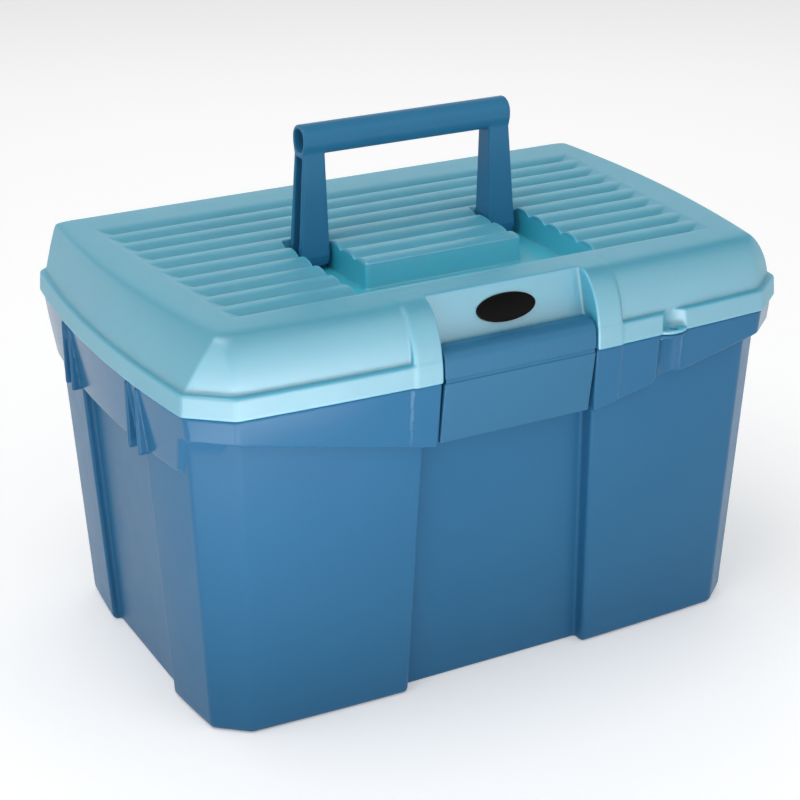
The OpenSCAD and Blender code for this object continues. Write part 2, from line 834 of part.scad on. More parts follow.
module tray() {
    ix = tray_x - 2 * tray_t;
    iy = tray_y - 2 * tray_t;
    color([0.52, 0.74, 0.81])
        difference() {
            union() {
                translate([0, 0, tray_z])
                    linear_extrude(tray_h - 2)
                        round_plate(tray_x - tray_t, tray_y - tray_t, tray_r);
                translate([0, 0, tray_z + tray_h - 3])
                    linear_extrude(3)
                        round_plate(tray_x, tray_y, tray_r + 2);
            }
            intersection() {
                translate([0, 0, tray_z + tray_t])
                    linear_extrude(tray_h)
                        round_plate(ix, iy, tray_r - tray_t);
                union() {
                    pocket(-ix, -iy, ix, -long_wall_y);
                    pocket(-ix, -long_wall_y + tray_t, -ix / 3 - tray_t / 2, iy);
                    pocket(-ix / 3 + tray_t / 2, -long_wall_y + tray_t, ix / 3 - tray_t / 2, iy);
                    pocket(ix / 3 + tray_t / 2, -long_wall_y + tray_t, ix, iy);
                }
            }
            ends()
                translate([tray_x - 3 * tray_t, -notch_y, tray_z + tray_h])
                    rotate([0, 90, 0])
                        cylinder(r = notch_r, h = 6 * tray_t);
        }
}

tub();
lid();
handle();
latch_plate();
latch_film();
latch_flap();
badge();
hinge_pin_left();
hinge_pin_right();
tray();
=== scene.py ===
import math

import bpy
import numpy as np
from mathutils import Matrix, Vector


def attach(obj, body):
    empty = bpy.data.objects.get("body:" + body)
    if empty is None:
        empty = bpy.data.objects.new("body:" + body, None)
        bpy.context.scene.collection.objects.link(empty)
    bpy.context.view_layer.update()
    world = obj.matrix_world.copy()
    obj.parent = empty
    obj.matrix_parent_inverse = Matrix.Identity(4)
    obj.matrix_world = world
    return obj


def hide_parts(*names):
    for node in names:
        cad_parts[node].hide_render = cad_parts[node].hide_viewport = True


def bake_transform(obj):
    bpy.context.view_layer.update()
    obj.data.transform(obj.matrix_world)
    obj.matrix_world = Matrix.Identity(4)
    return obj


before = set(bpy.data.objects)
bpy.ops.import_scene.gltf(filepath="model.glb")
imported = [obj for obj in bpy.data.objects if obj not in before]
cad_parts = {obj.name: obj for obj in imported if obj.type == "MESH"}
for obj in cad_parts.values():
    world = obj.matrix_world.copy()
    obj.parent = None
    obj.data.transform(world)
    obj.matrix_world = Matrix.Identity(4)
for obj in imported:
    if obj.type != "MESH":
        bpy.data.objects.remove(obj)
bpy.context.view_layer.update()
COARSE = 1.0

# Sizes in millimetres, the same as in the part's source.
BOX_L, BOX_D, PART_Z, LID_H, WALL = 400.0, 275.0, 202.4, 42.8, 2.6
END_BOW, FRONT_BOW, CUT_X, CUT_Y, PART_GAP = 7.8, 5.9, 23.4, 19.7, 0.3
FOOT_IN_X, FOOT_IN_Y, FOOT_IN_B, FOOT_IN_C = 15.3, 20.7, 23.1, 22.5
RIM_IN_X, RIM_IN_Y, FOOT_R = 5.9, 10.2, 3.6
PANEL_DEEP, PANEL_FOOT, PANEL_RIM, END_DEEP, END_HALF = 9.3, 60.4, 53.2, 5.0, 49.8
SKIRT_T, SKIRT_IN, SKIRT_H, SKIRT_LOW, LEAN_X, LEAN_Y = 2.4, 2.0, 39.5, 15.0, 4.6, 3.4
TAB_Y, TAB_BACK, TAB_A, FIN_T, FIN_IN, FIN_OUT, FIN_UNDER = 93.5, 102.5, 18.0, 2.4, 46.0, 58.5, 0.8
RIM_H, LEDGE, DOME_FRONT = 12.6, 4.8, 18.5
DOME_SIDE_F, DOME_SIDE_B, FRONT_MIX, BACK_MIX = 21.5, 8.5, 0.55, 0.8
BROW_RUN, PILLAR_W, DOME_CUT = 23.4, 17.5, 13.6
RIB_N, RIB_PITCH, RIB_DEEP, RIB_BACK, RIB_HALF_B, RIB_HALF_F = 10, 17.9, 3.0, 73.0, 166.0, 154.0
LEG_ROOM, ISLAND_ROOM, LEG_W, LEG_FLARE, LEG_L, PIVOT_H = 5.0, 1.9, 18.6, 4.0, 68.6, 34.8
GRIP_D, GRIP_H, GRIP_T, GRIP_HALF, BAY_REACH, FINGER_ROOM = 16.4, 18.2, 2.4, 68.0, 11.3, 10.0
LEG_WEB, SLOT_W, FOOT_RAD, TRUNNION_D, RUN_GAP, BAY_GAP = 3.5, 8.0, 8.5, 8.0, 0.05, 0.6
LATCH_HALF, PLATE_R, MOUTH_HALF, PLATE_H, FLAP_H, LATCH_T = 48.4, 5.5, 49.6, 17.5, 38.7, 3.0
SLIT, FILM_T, CATCH_DROP, CATCH_T, CATCH_GAP, HOOK_T = 1.2, 0.5, 31.4, 3.4, 0.8, 2.4
FLAP_LEAN, SEAT_DEEP, FACE_IN, CATCH_HALF = 6.2, 11.0, 1.1, 32.0
EYE_X, EYE_R, EYE_OUT, EYE_D, EYE_T = 102.5, 9.4, 4.6, 4.6, 2.5
HINGE_X, BARREL_R, PIN_D, BARREL_L, SIDE_L, BARREL_GAP = 105.0, 3.6, 4.0, 24.0, 12.0, 0.3
TRAY_GAP, LEDGE_OVER, LEDGE_HALF, LEDGE_T, NOTCH_R, NOTCH_Y = 4.5, 6.0, 40.0, 4.0, 16.0, 44.0
LONG_WALL_Y, POCKET_R, TRAY_H, TRAY_T, TRAY_DROP, TRAY_R = 14.0, 8.0, 42.0, 2.2, 8.7, 22.0
PANEL_STEP, BADGE_RUN, BADGE_UP, BADGE_L, BADGE_W, BADGE_T = 5.3, 7.6, 11.9, 38.0, 16.0, 1.4

# Surface detail that only the scene has, in millimetres: the straight back of the dome and its rear corners,
# and the skirt's raised middle beside the latch.
BACK_SLOPE, BACK_CUT = 18.0, 7.0
PAD_HALF, PAD_UP, PAD_STEP = 67.1, 0.6, 0.5

# Lesser offsets and overlaps, in millimetres.
BACK_GAP, SLOT_END, HUMP_DROP, FILM_IN, MOUTH_SPREAD = 0.8, 1.0, 0.25, 0.65, 1.9
PANEL_BULGE, END_BULGE, END_TILT, PANEL_LAP, PANEL_TOP = 3.9, 4.0, 1.2, 0.8, 1.0
BROW_UP, STEP_H, OVER_H, OVER_RUN, LEDGE_LESS = 4.0, 8.0, 9.0, 3.2, 1.0
SHELF_Y, SHELF_R, SHELF_DEEP, BARREL_ROOT, BORE_HALF = 11.2, 14.0, 6.0, 4.0, 40.0
PILLAR_IN, PILLAR_LAP, PILLAR_DEEP, PILLAR_DROP, LUG_GAP = 0.95, 4.0, 32.0, 0.4, 0.5
HUMP_SHORT, HUMP_FLOOR, BOSS_T, BOSS_L = 14.0, 15.0, 3.5, 2.0
WEB_IN, WEB_OUT, WEB_LOW, POCKET_OVER = 2.0, 9.0, 2.0, 0.4
FADE_X, FADE_FROM, FADE_Y, BAY_EDGE, ISLAND_EDGE, RIB_RUN = 7.0, 2.0, 5.0, 1.1, 3.6, 10.0
EYE_BORE_IN, EYE_BORE_UP, EYE_BORE_DOWN, PIVOT_IN, PIVOT_OUT = 1.3, 15.0, 20.0, 8.0, 4.0
CORNER_IN, PANEL_DOWN, PANEL_PAST, END_TOP, MOUTH_PAST = 0.4, 6.0, 20.0, 10.0, 20.0
EDGE_TURN, MOUTH_WALL_Y, TAB_LIP, FIN_ROOT, FIN_DROP = 2.0, -60.0, 0.6, 8.0, 1.6
BAR_LAP, BAR_IN, LUG_TOP = 1.7, 0.7, 0.2
LEG_TUCK, LEG_HALF, LEG_TAPER, LEG_LAP, TRUNNION_IN, TRUNNION_LAP = 0.4, 6.2, 1.0, 1.0, 4.0, 2.0
STEP_LOW, STEP_TOP, STEP_DEEP, PLATE_ROOF = 5.0, 1.2, 3.0, 6.0
HOOK_REACH, HOOK_ROOT, HOOK_LESS = 5.0, 1.0, 2.0
LIP_OUT, LIP_T, LIP_LAP, BADGE_CROWN = 2.0, 3.0, 1.0, 0.55
FILM_LAP, FILM_SHORT, FILM_SAG, BEAD_T = 0.3, 0.6, 0.3, 0.35

# Shares without a unit: slope of the rim band, where the curves of dome and brow stop short of level, the bow
# that is left at the foot, the rise of the field beyond the ribs and a factor for their slope.
RIM_LEAN, DOME_STEEP, BROW_STEEP, FOOT_BOW, RIB_RISE, RIB_EVEN = 0.08, 0.998, 0.995, 0.75, 1.5, 0.9
FAR = 1e3
PER_METRE = 1000

RIM_X = BOX_L / 2 - END_BOW
RIM_Y = BOX_D / 2 - FRONT_BOW
RIM_B = BOX_D / 2 - 2 * BARREL_R - BACK_GAP
CUT_N = math.hypot(CUT_X, CUT_Y)
NX, NY = CUT_Y / CUT_N, CUT_X / CUT_N
RIM_C = RIM_X * NX + (RIM_Y - CUT_Y) * NY
RIM_Z = PART_Z - PART_GAP
TOP_Z = PART_Z + LID_H
LEDGE_Z = PART_Z + RIM_H
DOME_SIDE = (DOME_SIDE_F + DOME_SIDE_B) / 2
SKIRT_Z = RIM_Z - SKIRT_H
LOW_Z = RIM_Z - SKIRT_LOW
HINGE_Y = BOX_D / 2 - BARREL_R
PIVOT_Z = PART_Z + PIVOT_H
GRIP_Z = PIVOT_Z + LEG_L
LEG_IN = GRIP_HALF + LEG_FLARE - LEG_W
SLOT_Z0, SLOT_Z1 = PIVOT_Z - FOOT_RAD + LEG_WEB, GRIP_Z - GRIP_H / 2 - SLOT_END
BAY_HALF = GRIP_HALF + LEG_FLARE + LEG_ROOM
ISLAND_HALF = LEG_IN - ISLAND_ROOM
BAY_Z = PIVOT_Z - FOOT_RAD - BAY_GAP
BAY_FRONT, BAY_BACK = -(LEG_L + GRIP_H / 2 + BAY_REACH), FOOT_RAD + BAY_GAP
ISLAND_Y = -(LEG_L - GRIP_H / 2 - FINGER_ROOM)
HUMP_Z = TOP_Z - HUMP_DROP
HUMP_R = (RIB_PITCH ** 2 / 4 + RIB_DEEP ** 2) / (2 * RIB_DEEP)
HALF_RIBS = (RIB_N - 1) / 2
FRONT_Y = -BOX_D / 2
SEAT_Y, FACE_Y = FRONT_Y + SEAT_DEEP, FRONT_Y + FACE_IN
FILM_Y = FACE_Y + FILM_IN
MOUTH_LOW = MOUTH_HALF + MOUTH_SPREAD
PANEL_TAN = (FOOT_IN_Y - RIM_IN_Y) / RIM_Z
PANEL_Y = -(RIM_Y - FOOT_IN_Y + PANEL_BULGE) + PANEL_DEEP
END_TAN = (FOOT_IN_X - RIM_IN_X + END_TILT) / RIM_Z
END_X = RIM_X - FOOT_IN_X + END_BULGE - END_DEEP
SIDE_Y, CORNER_X, CATCH_Z = RIM_Y - CUT_Y, RIM_X - CUT_X, PART_Z - CATCH_DROP
TRAY_Z = PART_Z - TRAY_DROP - TRAY_H
TRAY_X = END_X + END_TAN * TRAY_Z - WALL - TRAY_GAP
TRAY_Y = -PANEL_Y + PANEL_TAN * TRAY_Z - WALL - TRAY_GAP
EYE_Y = -(RIM_Y + FRONT_BOW * (1 - (EYE_X / CORNER_X) ** 2))
BADGE_Z0, BADGE_Z1 = PART_Z + PLATE_H - PANEL_LAP, TOP_Z - PANEL_TOP
BADGE_A = math.atan(BADGE_RUN / (BADGE_Z1 - BADGE_Z0))


# Solid shapes as smooth fields: below zero inside, above zero outside. The last value given to smax, smin and
# cut is the width in millimetres over which the edge between two faces is rounded.
def smax(a, b, k):
    h = np.maximum(k - np.abs(a - b), 0)
    return np.maximum(a, b) + h * h * (0.25 / k)


def smin(a, b, k):
    return -smax(-a, -b, k)


def cut(a, b, k):
    """Shape a without shape b."""
    return smax(a, -b, k)


def slab(v, lo, hi):
    return np.maximum(lo - v, v - hi)


def block(x, y, z, x0, x1, y0, y1, z0, z1, k):
    return smax(smax(slab(x, x0, x1), slab(y, y0, y1), k), slab(z, z0, z1), k)


def plan(ax, y, insets, bow, k, ks, even=(1.0, 1.0, 1.0, 1.0)):
    """Distance from the bowed outline of the box with its cut corners, seen from above.

    The insets are those of each end at its front and at its rear, of the front, of the front and the rear
    corners and of the back. k rounds the edges beside front and back, ks those beside the ends. The distances
    from front, ends, corners and back are divided by the four values of even: sloped faces are nearer."""
    end_front, end_rear, front, corner_front, corner_rear, back = insets
    even_front, even_end, even_corner, even_back = even
    yf = RIM_Y - front
    cf, cr = RIM_C - corner_front, RIM_C - corner_rear
    xf, xr = RIM_X - end_front, RIM_X - end_rear
    half = (cf - yf * NY) / NX
    y0, y1 = (cf - xf * NX) / NY, (cr - xr * NX) / NY
    u = (y + y0) / (y0 + y1)
    w = 2 * u - 1
    d = (-y - yf - bow * FRONT_BOW * (1 - (ax / half) ** 2)) / even_front
    d = smax(d, (NX * ax - NY * y - cf) / even_corner, k)
    d = smax(d, (ax - xf - (xr - xf) * u - bow * END_BOW * (1 - w * w)) / even_end, ks)
    d = smax(d, (NX * ax + NY * y - cr) / even_corner, ks)
    return smax(d, (y - RIM_B + back) / even_back, k)


def dome(ax, y, z, off, drop, k, ks):
    """Rounded top of the lid, set in by off and lowered by drop."""
    h = TOP_Z - LEDGE_Z - drop
    t = np.clip((z - LEDGE_Z) / h, 0, DOME_STEEP)
    q = 1 - np.sqrt(1 - t * t)
    sf = FRONT_MIX * t + (1 - FRONT_MIX) * q
    sb = BACK_MIX * t + (1 - BACK_MIX) * q
    # slopes of the round curve, and of the mixed curves near enough
    dq = t / np.sqrt(1 - t * t) / h
    ds = np.where(t > 0, 0.5 / h, 0) + 0.5 * dq
    side = LEDGE - LEDGE_LESS + off
    base = LEDGE + off
    insets = (side + DOME_SIDE_F * sf, side + DOME_SIDE_B * sb, base + DOME_FRONT * q, base + DOME_CUT * q,
              base + BACK_CUT * sb, base + BACK_SLOPE * sb)
    slopes = (DOME_FRONT * dq, DOME_SIDE * ds, DOME_CUT * dq, BACK_SLOPE * ds)
    d = plan(ax, y, insets, 1, k, ks, [np.sqrt(1 + slope ** 2) for slope in slopes])
    return smax(d, z - TOP_Z + drop, 2.5)


def brow(z, y0):
    """Curved front edge of the pillars and the latch plate: its y and its slope at height z."""
    h = LID_H - BROW_UP
    t = np.clip((z - PART_Z - BROW_UP) / h, 0, BROW_STEEP)
    r = np.sqrt(1 - t * t)
    return y0 + BROW_RUN * (1 - r), BROW_RUN * t / r / h


def bay(ax, y, z, g, k):
    """U-shaped bay of the handle."""
    d = smax(ax - BAY_HALF - g, slab(y, BAY_FRONT - g, BAY_BACK + g), 3.0)
    d = cut(d, smax(ax - ISLAND_HALF + g, ISLAND_Y + g - y, 3.0), 1.5)
    return smax(d, BAY_Z - z - g, k)


def ribs(y, r, k):
    """Height of the humps of the lid top at depth y."""
    y0 = RIB_BACK + RIB_PITCH / 2
    p = (y0 - y) / RIB_PITCH
    n = np.clip(np.floor(p), 0, RIB_N - 1)
    a, b = (p - n) * RIB_PITCH, (n + 1 - p) * RIB_PITCH
    za = np.sqrt(np.maximum(r * r - a * a, 1)) - HUMP_R + HUMP_Z
    zb = np.sqrt(np.maximum(r * r - b * b, 1)) - HUMP_R + HUMP_Z
    out = np.maximum(np.maximum(-p, p - RIB_N), 0) * RIB_PITCH
    return smax(za, zb, k) + out * RIB_RISE


def latch_bay(ax, y, z, g, k):
    """Room for the latch plate and the badge panel above it."""
    zs = np.array([0, PART_Z + PLATE_H - STEP_H, BADGE_Z0, BADGE_Z1, TOP_Z + OVER_H], np.float32)
    run = PANEL_STEP + BADGE_RUN
    yy = SEAT_Y + g + np.array([0, 0, PANEL_STEP, run, run + OVER_RUN], np.float32)
    edge = np.interp(z, zs, yy).astype(np.float32)
    return smax(ax - MOUTH_HALF - g, y - edge, k)


def eye_shelf(x, y, z, z0):
    """Rounded shelf of the padlock eye, from z0 up."""
    d = np.hypot(x - EYE_X, y - EYE_Y - SHELF_Y) - SHELF_R
    d = smax(d, np.abs(x - EYE_X) - EYE_R, 1.0)
    return smax(smax(d, slab(z, z0, z0 + EYE_T), 0.8), y - EYE_Y - SHELF_DEEP, 0.5)


def eye_bore(x, y):
    return np.hypot(x - EYE_X, y - EYE_Y - EYE_BORE_IN) - EYE_D / 2


def barrels(ax, y, z, spans, z0, z1):
    """Hinge barrels over these spans of x, each with its web to the rim."""
    d = FAR
    for x0, x1 in spans:
        b = smax(np.hypot(y - HINGE_Y, z - PART_Z) - BARREL_R, slab(ax, x0, x1), 0.5)
        w = block(ax, y, z, x0, x1, RIM_B - BARREL_ROOT, HINGE_Y, z0, z1, 0.5)
        d = np.minimum(d, smin(b, w, 0.8))
    return d


def pin_bore(ax, y, z):
    bore = np.hypot(y - HINGE_Y, z - PART_Z) - PIN_D / 2 - RUN_GAP
    return np.maximum(bore, slab(ax, HINGE_X - BORE_HALF, HINGE_X + BORE_HALF))


def lid_field(x, y, z):
    ax = np.abs(x)
    lean = RIM_LEAN * np.clip(z - PART_Z, 0, RIM_H)
    d = plan(ax, y, [lean] * 6, 1, 1.3, 1.3)
    d = smax(smax(d, z - LEDGE_Z, 1.8), PART_Z - z, 1.3)
    d = smin(d, dome(ax, y, z, 0, 0, 2.6, 0.9), 1.1)
    yb, sb = brow(z, FRONT_Y + PILLAR_IN)
    p = smax((yb - y) / np.sqrt(1 + sb * sb), ax - MOUTH_HALF - PILLAR_W, 3.2)
    p = smax(smax(p, MOUTH_HALF - PILLAR_LAP - ax, 0.5), y - FRONT_Y - PILLAR_DEEP, 0.5)
    p = smax(p, slab(z, PART_Z, TOP_Z - PILLAR_DROP), 0.7)
    d = smin(d, p, 1.2)
    d = np.minimum(d, eye_shelf(x, y, z, PART_Z))
    x0 = HINGE_X - BARREL_L / 2
    x1 = x0 + BARREL_L
    d = np.minimum(d, barrels(ax, y, z, [(x0, x1)], PART_Z + LUG_GAP, PART_Z + BARREL_R))
    # hollow underside
    inner = dome(ax, y, z, WALL, WALL + RIB_DEEP + HUMP_DROP, 2.0, 2.0)
    hump = np.maximum(z - ribs(y, HUMP_R - WALL, 1.0), ax - RIB_HALF_F + HUMP_SHORT)
    hump = np.maximum(hump, np.abs(y - RIB_BACK + RIB_PITCH * HALF_RIBS) - RIB_PITCH * HALF_RIBS)
    hump = np.maximum(hump, TOP_Z - HUMP_FLOOR - z)
    rim = np.maximum(plan(ax, y, [WALL] * 6, 1, 1.0, 1.0), z - PART_Z - RIM_H + WALL)
    inner = np.minimum(np.minimum(inner, hump), rim)
    inner = cut(inner, bay(ax, y, z, WALL, 1.0), 1.0)
    inner = cut(inner, latch_bay(ax, y, z, WALL, 1.0), 1.0)
    eye = np.hypot(x - EYE_X, y - EYE_Y + EYE_OUT) - EYE_R
    inner = cut(inner, eye - WALL, 1.0)
    boss = np.hypot(y, z - PIVOT_Z) - TRUNNION_D / 2 - BOSS_T
    inner = cut(inner, np.maximum(boss, slab(ax, ISLAND_HALF - WALL - BOSS_L, ISLAND_HALF - WALL)), 0.5)
    web_y0, web_y1 = RIM_B - WALL - WEB_IN, RIM_B + WEB_OUT
    web = block(ax, y, z, x0, x1, web_y0, web_y1, PART_Z - WEB_LOW, PART_Z + RIM_H, 0.5)
    inner = cut(inner, web, 0.5)
    d = cut(d, inner, 0.6)
    # handle bay with round ends on the island, valleys, latch bay
    side = np.clip(1 - np.abs(ax - ISLAND_HALF) / FADE_X, 0, 1)
    side = side * np.clip((y - ISLAND_Y + FADE_FROM) / FADE_Y, 0, 1)
    d = cut(d, bay(ax, y, z, 0, 1.2), BAY_EDGE + ISLAND_EDGE * side)
    y0, y1 = RIB_BACK + RIB_PITCH / 2, RIB_BACK + RIB_PITCH / 2 - RIB_N * RIB_PITCH
    end = RIB_HALF_F + (RIB_HALF_B - RIB_HALF_F) * (y - y1) / (y0 - y1)
    top = smax(ribs(y, HUMP_R, 0.4), TOP_Z - (end - ax) * (RIB_DEEP + HUMP_DROP) / RIB_RUN, 0.5)
    d = smax(d, (z - top) * RIB_EVEN, 0.4)
    d = cut(d, latch_bay(ax, y, z, 0, 2.0), 1.2)
    pocket = smax(smax(eye, PART_Z + EYE_T - z, 1.0), z - LEDGE_Z - POCKET_OVER, 0.5)
    d = cut(d, pocket, 0.9)
    d = cut(d, np.maximum(eye_bore(x, y), z - PART_Z - EYE_BORE_UP), 0.5)
    bore = np.hypot(y, z - PIVOT_Z) - TRUNNION_D / 2 - RUN_GAP
    d = cut(d, np.maximum(bore, slab(ax, ISLAND_HALF - PIVOT_IN, ISLAND_HALF + PIVOT_OUT)), 0.3)
    return cut(d, pin_bore(ax, y, z), 0.3)


def tub_body(ax, y, z, off, z0, k):
    """Drafted body of the tub, set in by off, with its underside at z0."""
    v = np.clip((z - z0 - FOOT_R) / (RIM_Z - z0 - FOOT_R), -0.1, 1.2)
    sx = FOOT_IN_X + (RIM_IN_X - FOOT_IN_X) * v + off
    sy = FOOT_IN_Y + (RIM_IN_Y - FOOT_IN_Y) * v + off
    sc = FOOT_IN_C + (RIM_IN_Y + CORNER_IN - FOOT_IN_C) * v + off
    sb = FOOT_IN_B + (RIM_IN_Y - FOOT_IN_B) * v + off
    d = plan(ax, y, (sx, sx, sy, sc, sc, sb), FOOT_BOW + (1 - FOOT_BOW) * v, k, k)
    return smax(d, z0 - z, FOOT_R * 1.2)


def front_panel(ax, y, z, g, k):
    half = PANEL_FOOT + (PANEL_RIM - PANEL_FOOT) * (z + PANEL_DOWN) / (RIM_Z + PANEL_PAST) + g
    return smax(y - PANEL_Y - g + PANEL_TAN * z, ax - half, k)


def end_panel(ax, y, z, g, k):
    d = smax(END_X - g + END_TAN * z - ax, np.abs(y) - END_HALF - g, k)
    return smax(d, z - RIM_Z + END_TOP - g, 1.0)


def skirt_body(ax, y, z, off, k):
    """Leaning skirt, a little raised beside the latch."""
    s = np.clip((RIM_Z - z) / SKIRT_H, 0, 1.6)
    pad = PAD_UP * np.clip((PAD_HALF + PAD_STEP - ax) / (2 * PAD_STEP), 0, 1)
    a, b = SKIRT_IN + off + LEAN_X * s, SKIRT_IN + off + LEAN_Y * s
    return plan(ax, y, (a, a, b - pad, b, b, b), 1, k, k)


def mouth(ax, y, z, g, y1):
    """Gap in the skirt for the latch flap, back to y1."""
    half = MOUTH_LOW + (MOUTH_HALF - MOUTH_LOW) * (z - SKIRT_Z + MOUTH_PAST) / (SKIRT_H + MOUTH_PAST) + g
    return smax(ax - half, y - y1, 0.6)


def tab_reach(y):
    """Place of the skirt's lower edge at depth y of an end, along the normal of the corner."""
    x = RIM_X + END_BOW * (1 - (y / SIDE_Y) ** 2) - SKIRT_IN - LEAN_X
    return x * NX + y * NY


def tab_end(ax, y, z):
    """Distance beyond the tilted wall along which an end skirt closes back to the tub."""
    tilt = math.tan(math.radians(TAB_A))
    reach = np.where(y < 0, tab_reach(TAB_Y), tab_reach(TAB_BACK))
    return (NX * ax + NY * np.abs(y) - reach - tilt * (z - SKIRT_Z)) / math.hypot(1, tilt)


def skirt_edge(ax, y, z):
    """Below zero above the stepped lower edge of the skirt."""
    ends = smin(LOW_Z - z, smax(SKIRT_Z - z, tab_end(ax, y, z), 3.0), 1.5)
    slope = (LOW_Z - SKIRT_Z) / (CORNER_X - MOUTH_LOW)
    front = np.maximum(SKIRT_Z, SKIRT_Z + (ax - MOUTH_LOW) * slope) - z
    middle = np.where(y < 0, front, LOW_Z - z)
    w = np.clip((ax - CORNER_X + EDGE_TURN) / (2 * EDGE_TURN), 0, 1)
    return middle * (1 - w) + ends * w


def tub_field(x, y, z):
    ax = np.abs(x)
    # skirt under the rim, hollow, with closed ends, padlock eye and the mouth of the latch
    s = smax(skirt_body(ax, y, z, 0, 1.3), z - RIM_Z, 1.6)
    eye = np.hypot(x - EYE_X, y - EYE_Y - SKIRT_IN + EYE_OUT - (RIM_Z - z) * LEAN_Y / SKIRT_H) - EYE_R
    room = np.maximum(skirt_body(ax, y, z, SKIRT_T, 1.0), z - RIM_Z + WALL)
    walls = np.maximum(mouth(ax, y, z, SKIRT_T, MOUTH_WALL_Y), -mouth(ax, y, z, 0, 0))
    tabs = np.maximum(slab(tab_end(ax, y, z), -SKIRT_T - TAB_LIP, -TAB_LIP), CORNER_X - ax)
    room = cut(cut(cut(room, walls, 0.8), tabs, 0.8), eye - SKIRT_T, 0.8)
    s = cut(s, room, 0.7)
    s = smax(s, skirt_edge(ax, y, z), 1.4)
    s = cut(s, np.maximum(eye, z - RIM_Z + EYE_T), 1.8)
    s = cut(s, mouth(ax, y, z, 0, SEAT_Y), 1.2)
    # body with its sunk panels
    b = tub_body(ax, y, z, 0, 0, 1.3)
    b = smax(b, z - RIM_Z, 0.6)
    b = cut(b, front_panel(ax, y, z, 0, 2.2), 2.6)
    b = cut(b, end_panel(ax, y, z, 0, 2.0), 2.0)
    d = smin(s, b, 1.0)
    # eye shelf, fins, catch bar and hinge barrels
    d = np.minimum(d, eye_shelf(x, y, z, RIM_Z - EYE_T))
    fins = np.minimum(np.abs(np.abs(y) - FIN_IN), np.abs(np.abs(y) - FIN_OUT)) - FIN_T / 2
    reach = RIM_X + END_BOW * (1 - (y / SIDE_Y) ** 2) - FIN_UNDER
    fins = smax(fins, slab(ax, END_X + FIN_ROOT, reach), 1.0)
    fins = smax(fins, slab(z, SKIRT_Z - FIN_DROP, RIM_Z - FIN_DROP), 1.0)
    d = smin(d, fins, 0.8)
    back = PANEL_Y - PANEL_TAN * CATCH_Z + BAR_LAP
    bar = block(ax, y, z, -1, CATCH_HALF, SEAT_Y + BAR_IN, back, CATCH_Z, CATCH_Z + CATCH_T, 0.8)
    d = smin(d, bar, 0.8)
    x0, x1 = HINGE_X - BARREL_L / 2 - BARREL_GAP, HINGE_X + BARREL_L / 2 + BARREL_GAP
    spans = [(x0 - SIDE_L, x0), (x1, x1 + SIDE_L)]
    d = np.minimum(d, barrels(ax, y, z, spans, PART_Z - BARREL_R, RIM_Z - LUG_TOP))
    # inside with the ledges of the tray
    room = tub_body(ax, y, z, WALL, WALL, 2.2)
    room = cut(room, front_panel(ax, y, z, WALL, 2.0), 2.0)
    room = cut(room, end_panel(ax, y, z, WALL, 2.0), 2.0)
    ledge_x, ledge_z = TRAY_X - LEDGE_OVER, TRAY_Z - LEDGE_T
    shelf = block(ax, np.abs(y), z, ledge_x, BOX_L, -1, LEDGE_HALF, ledge_z, TRAY_Z, 0.8)
    d = cut(d, cut(room, shelf, 1.0), 0.8)
    d = cut(d, np.maximum(eye_bore(x, y), RIM_Z - EYE_BORE_DOWN - z), 0.5)
    return cut(d, pin_bore(ax, y, z), 0.3)


def grip_section(y, z, w, h):
    """Distance from the round-sided section of the grip."""
    return np.hypot(y, np.maximum(np.abs(z - GRIP_Z) - (h - w) / 2, 0)) - w / 2


def handle_field(x, y, z):
    ax = np.abs(x)
    grip = smax(grip_section(y, z, GRIP_D, GRIP_H), ax - GRIP_HALF, 1.2)
    v = np.clip((GRIP_Z - z) / LEG_L, 0, 1)
    outer = GRIP_HALF - LEG_TUCK + (LEG_FLARE + LEG_TUCK) * v
    half = LEG_HALF + (FOOT_RAD - LEG_HALF) * v
    leg = smax(smax(ax - outer, LEG_IN + LEG_TAPER - v - ax, 1.0), np.abs(y) - half, 1.6)
    leg = smax(leg, slab(z, PIVOT_Z, GRIP_Z - LEG_LAP), 0.3)
    foot = smax(np.hypot(y, z - PIVOT_Z) - FOOT_RAD, slab(ax, LEG_IN, GRIP_HALF + LEG_FLARE), 1.4)
    leg = smin(leg, foot, 0.6)
    slot = smax(smax(np.abs(y) - SLOT_W / 2, LEG_IN + LEG_WEB - ax, 1.5), slab(z, SLOT_Z0, SLOT_Z1), 1.5)
    d = smin(grip, cut(leg, slot, 1.0), 1.2)
    trunnion = np.hypot(y, z - PIVOT_Z) - TRUNNION_D / 2
    d = np.minimum(d, np.maximum(trunnion, slab(ax, ISLAND_HALF - TRUNNION_IN, LEG_IN + TRUNNION_LAP)))
    hole = smax(np.abs(y) - GRIP_D / 2 + GRIP_T, np.abs(z - GRIP_Z) - GRIP_H / 2 + GRIP_T, 6.0)
    return cut(d, hole, 0.7)


def plate_field(x, y, z):
    ax = np.abs(x)
    top = PART_Z + PLATE_H
    yb, sb = brow(z, FACE_Y)
    d = smax((yb - y) / np.sqrt(1 + sb * sb), z - PART_Z - PLATE_H, PLATE_R * 1.2)
    zs = [0, top - STEP_LOW, top - STEP_TOP, 2 * PART_Z]
    back = np.interp(z, zs, [SEAT_Y, SEAT_Y, SEAT_Y + STEP_DEEP, SEAT_Y + STEP_DEEP])
    d = smax(smax(d, y - back.astype(np.float32), 0.5), PART_Z + SLIT - z, 0.9)
    d = smax(d, ax - LATCH_HALF, 0.9)
    hollow = np.maximum(yb + LATCH_T - y, ax - LATCH_HALF + LATCH_T)
    hollow = np.maximum(hollow, slab(z, PART_Z + SLIT + LATCH_T, top - PLATE_ROOF))
    return cut(d, hollow, 0.5)


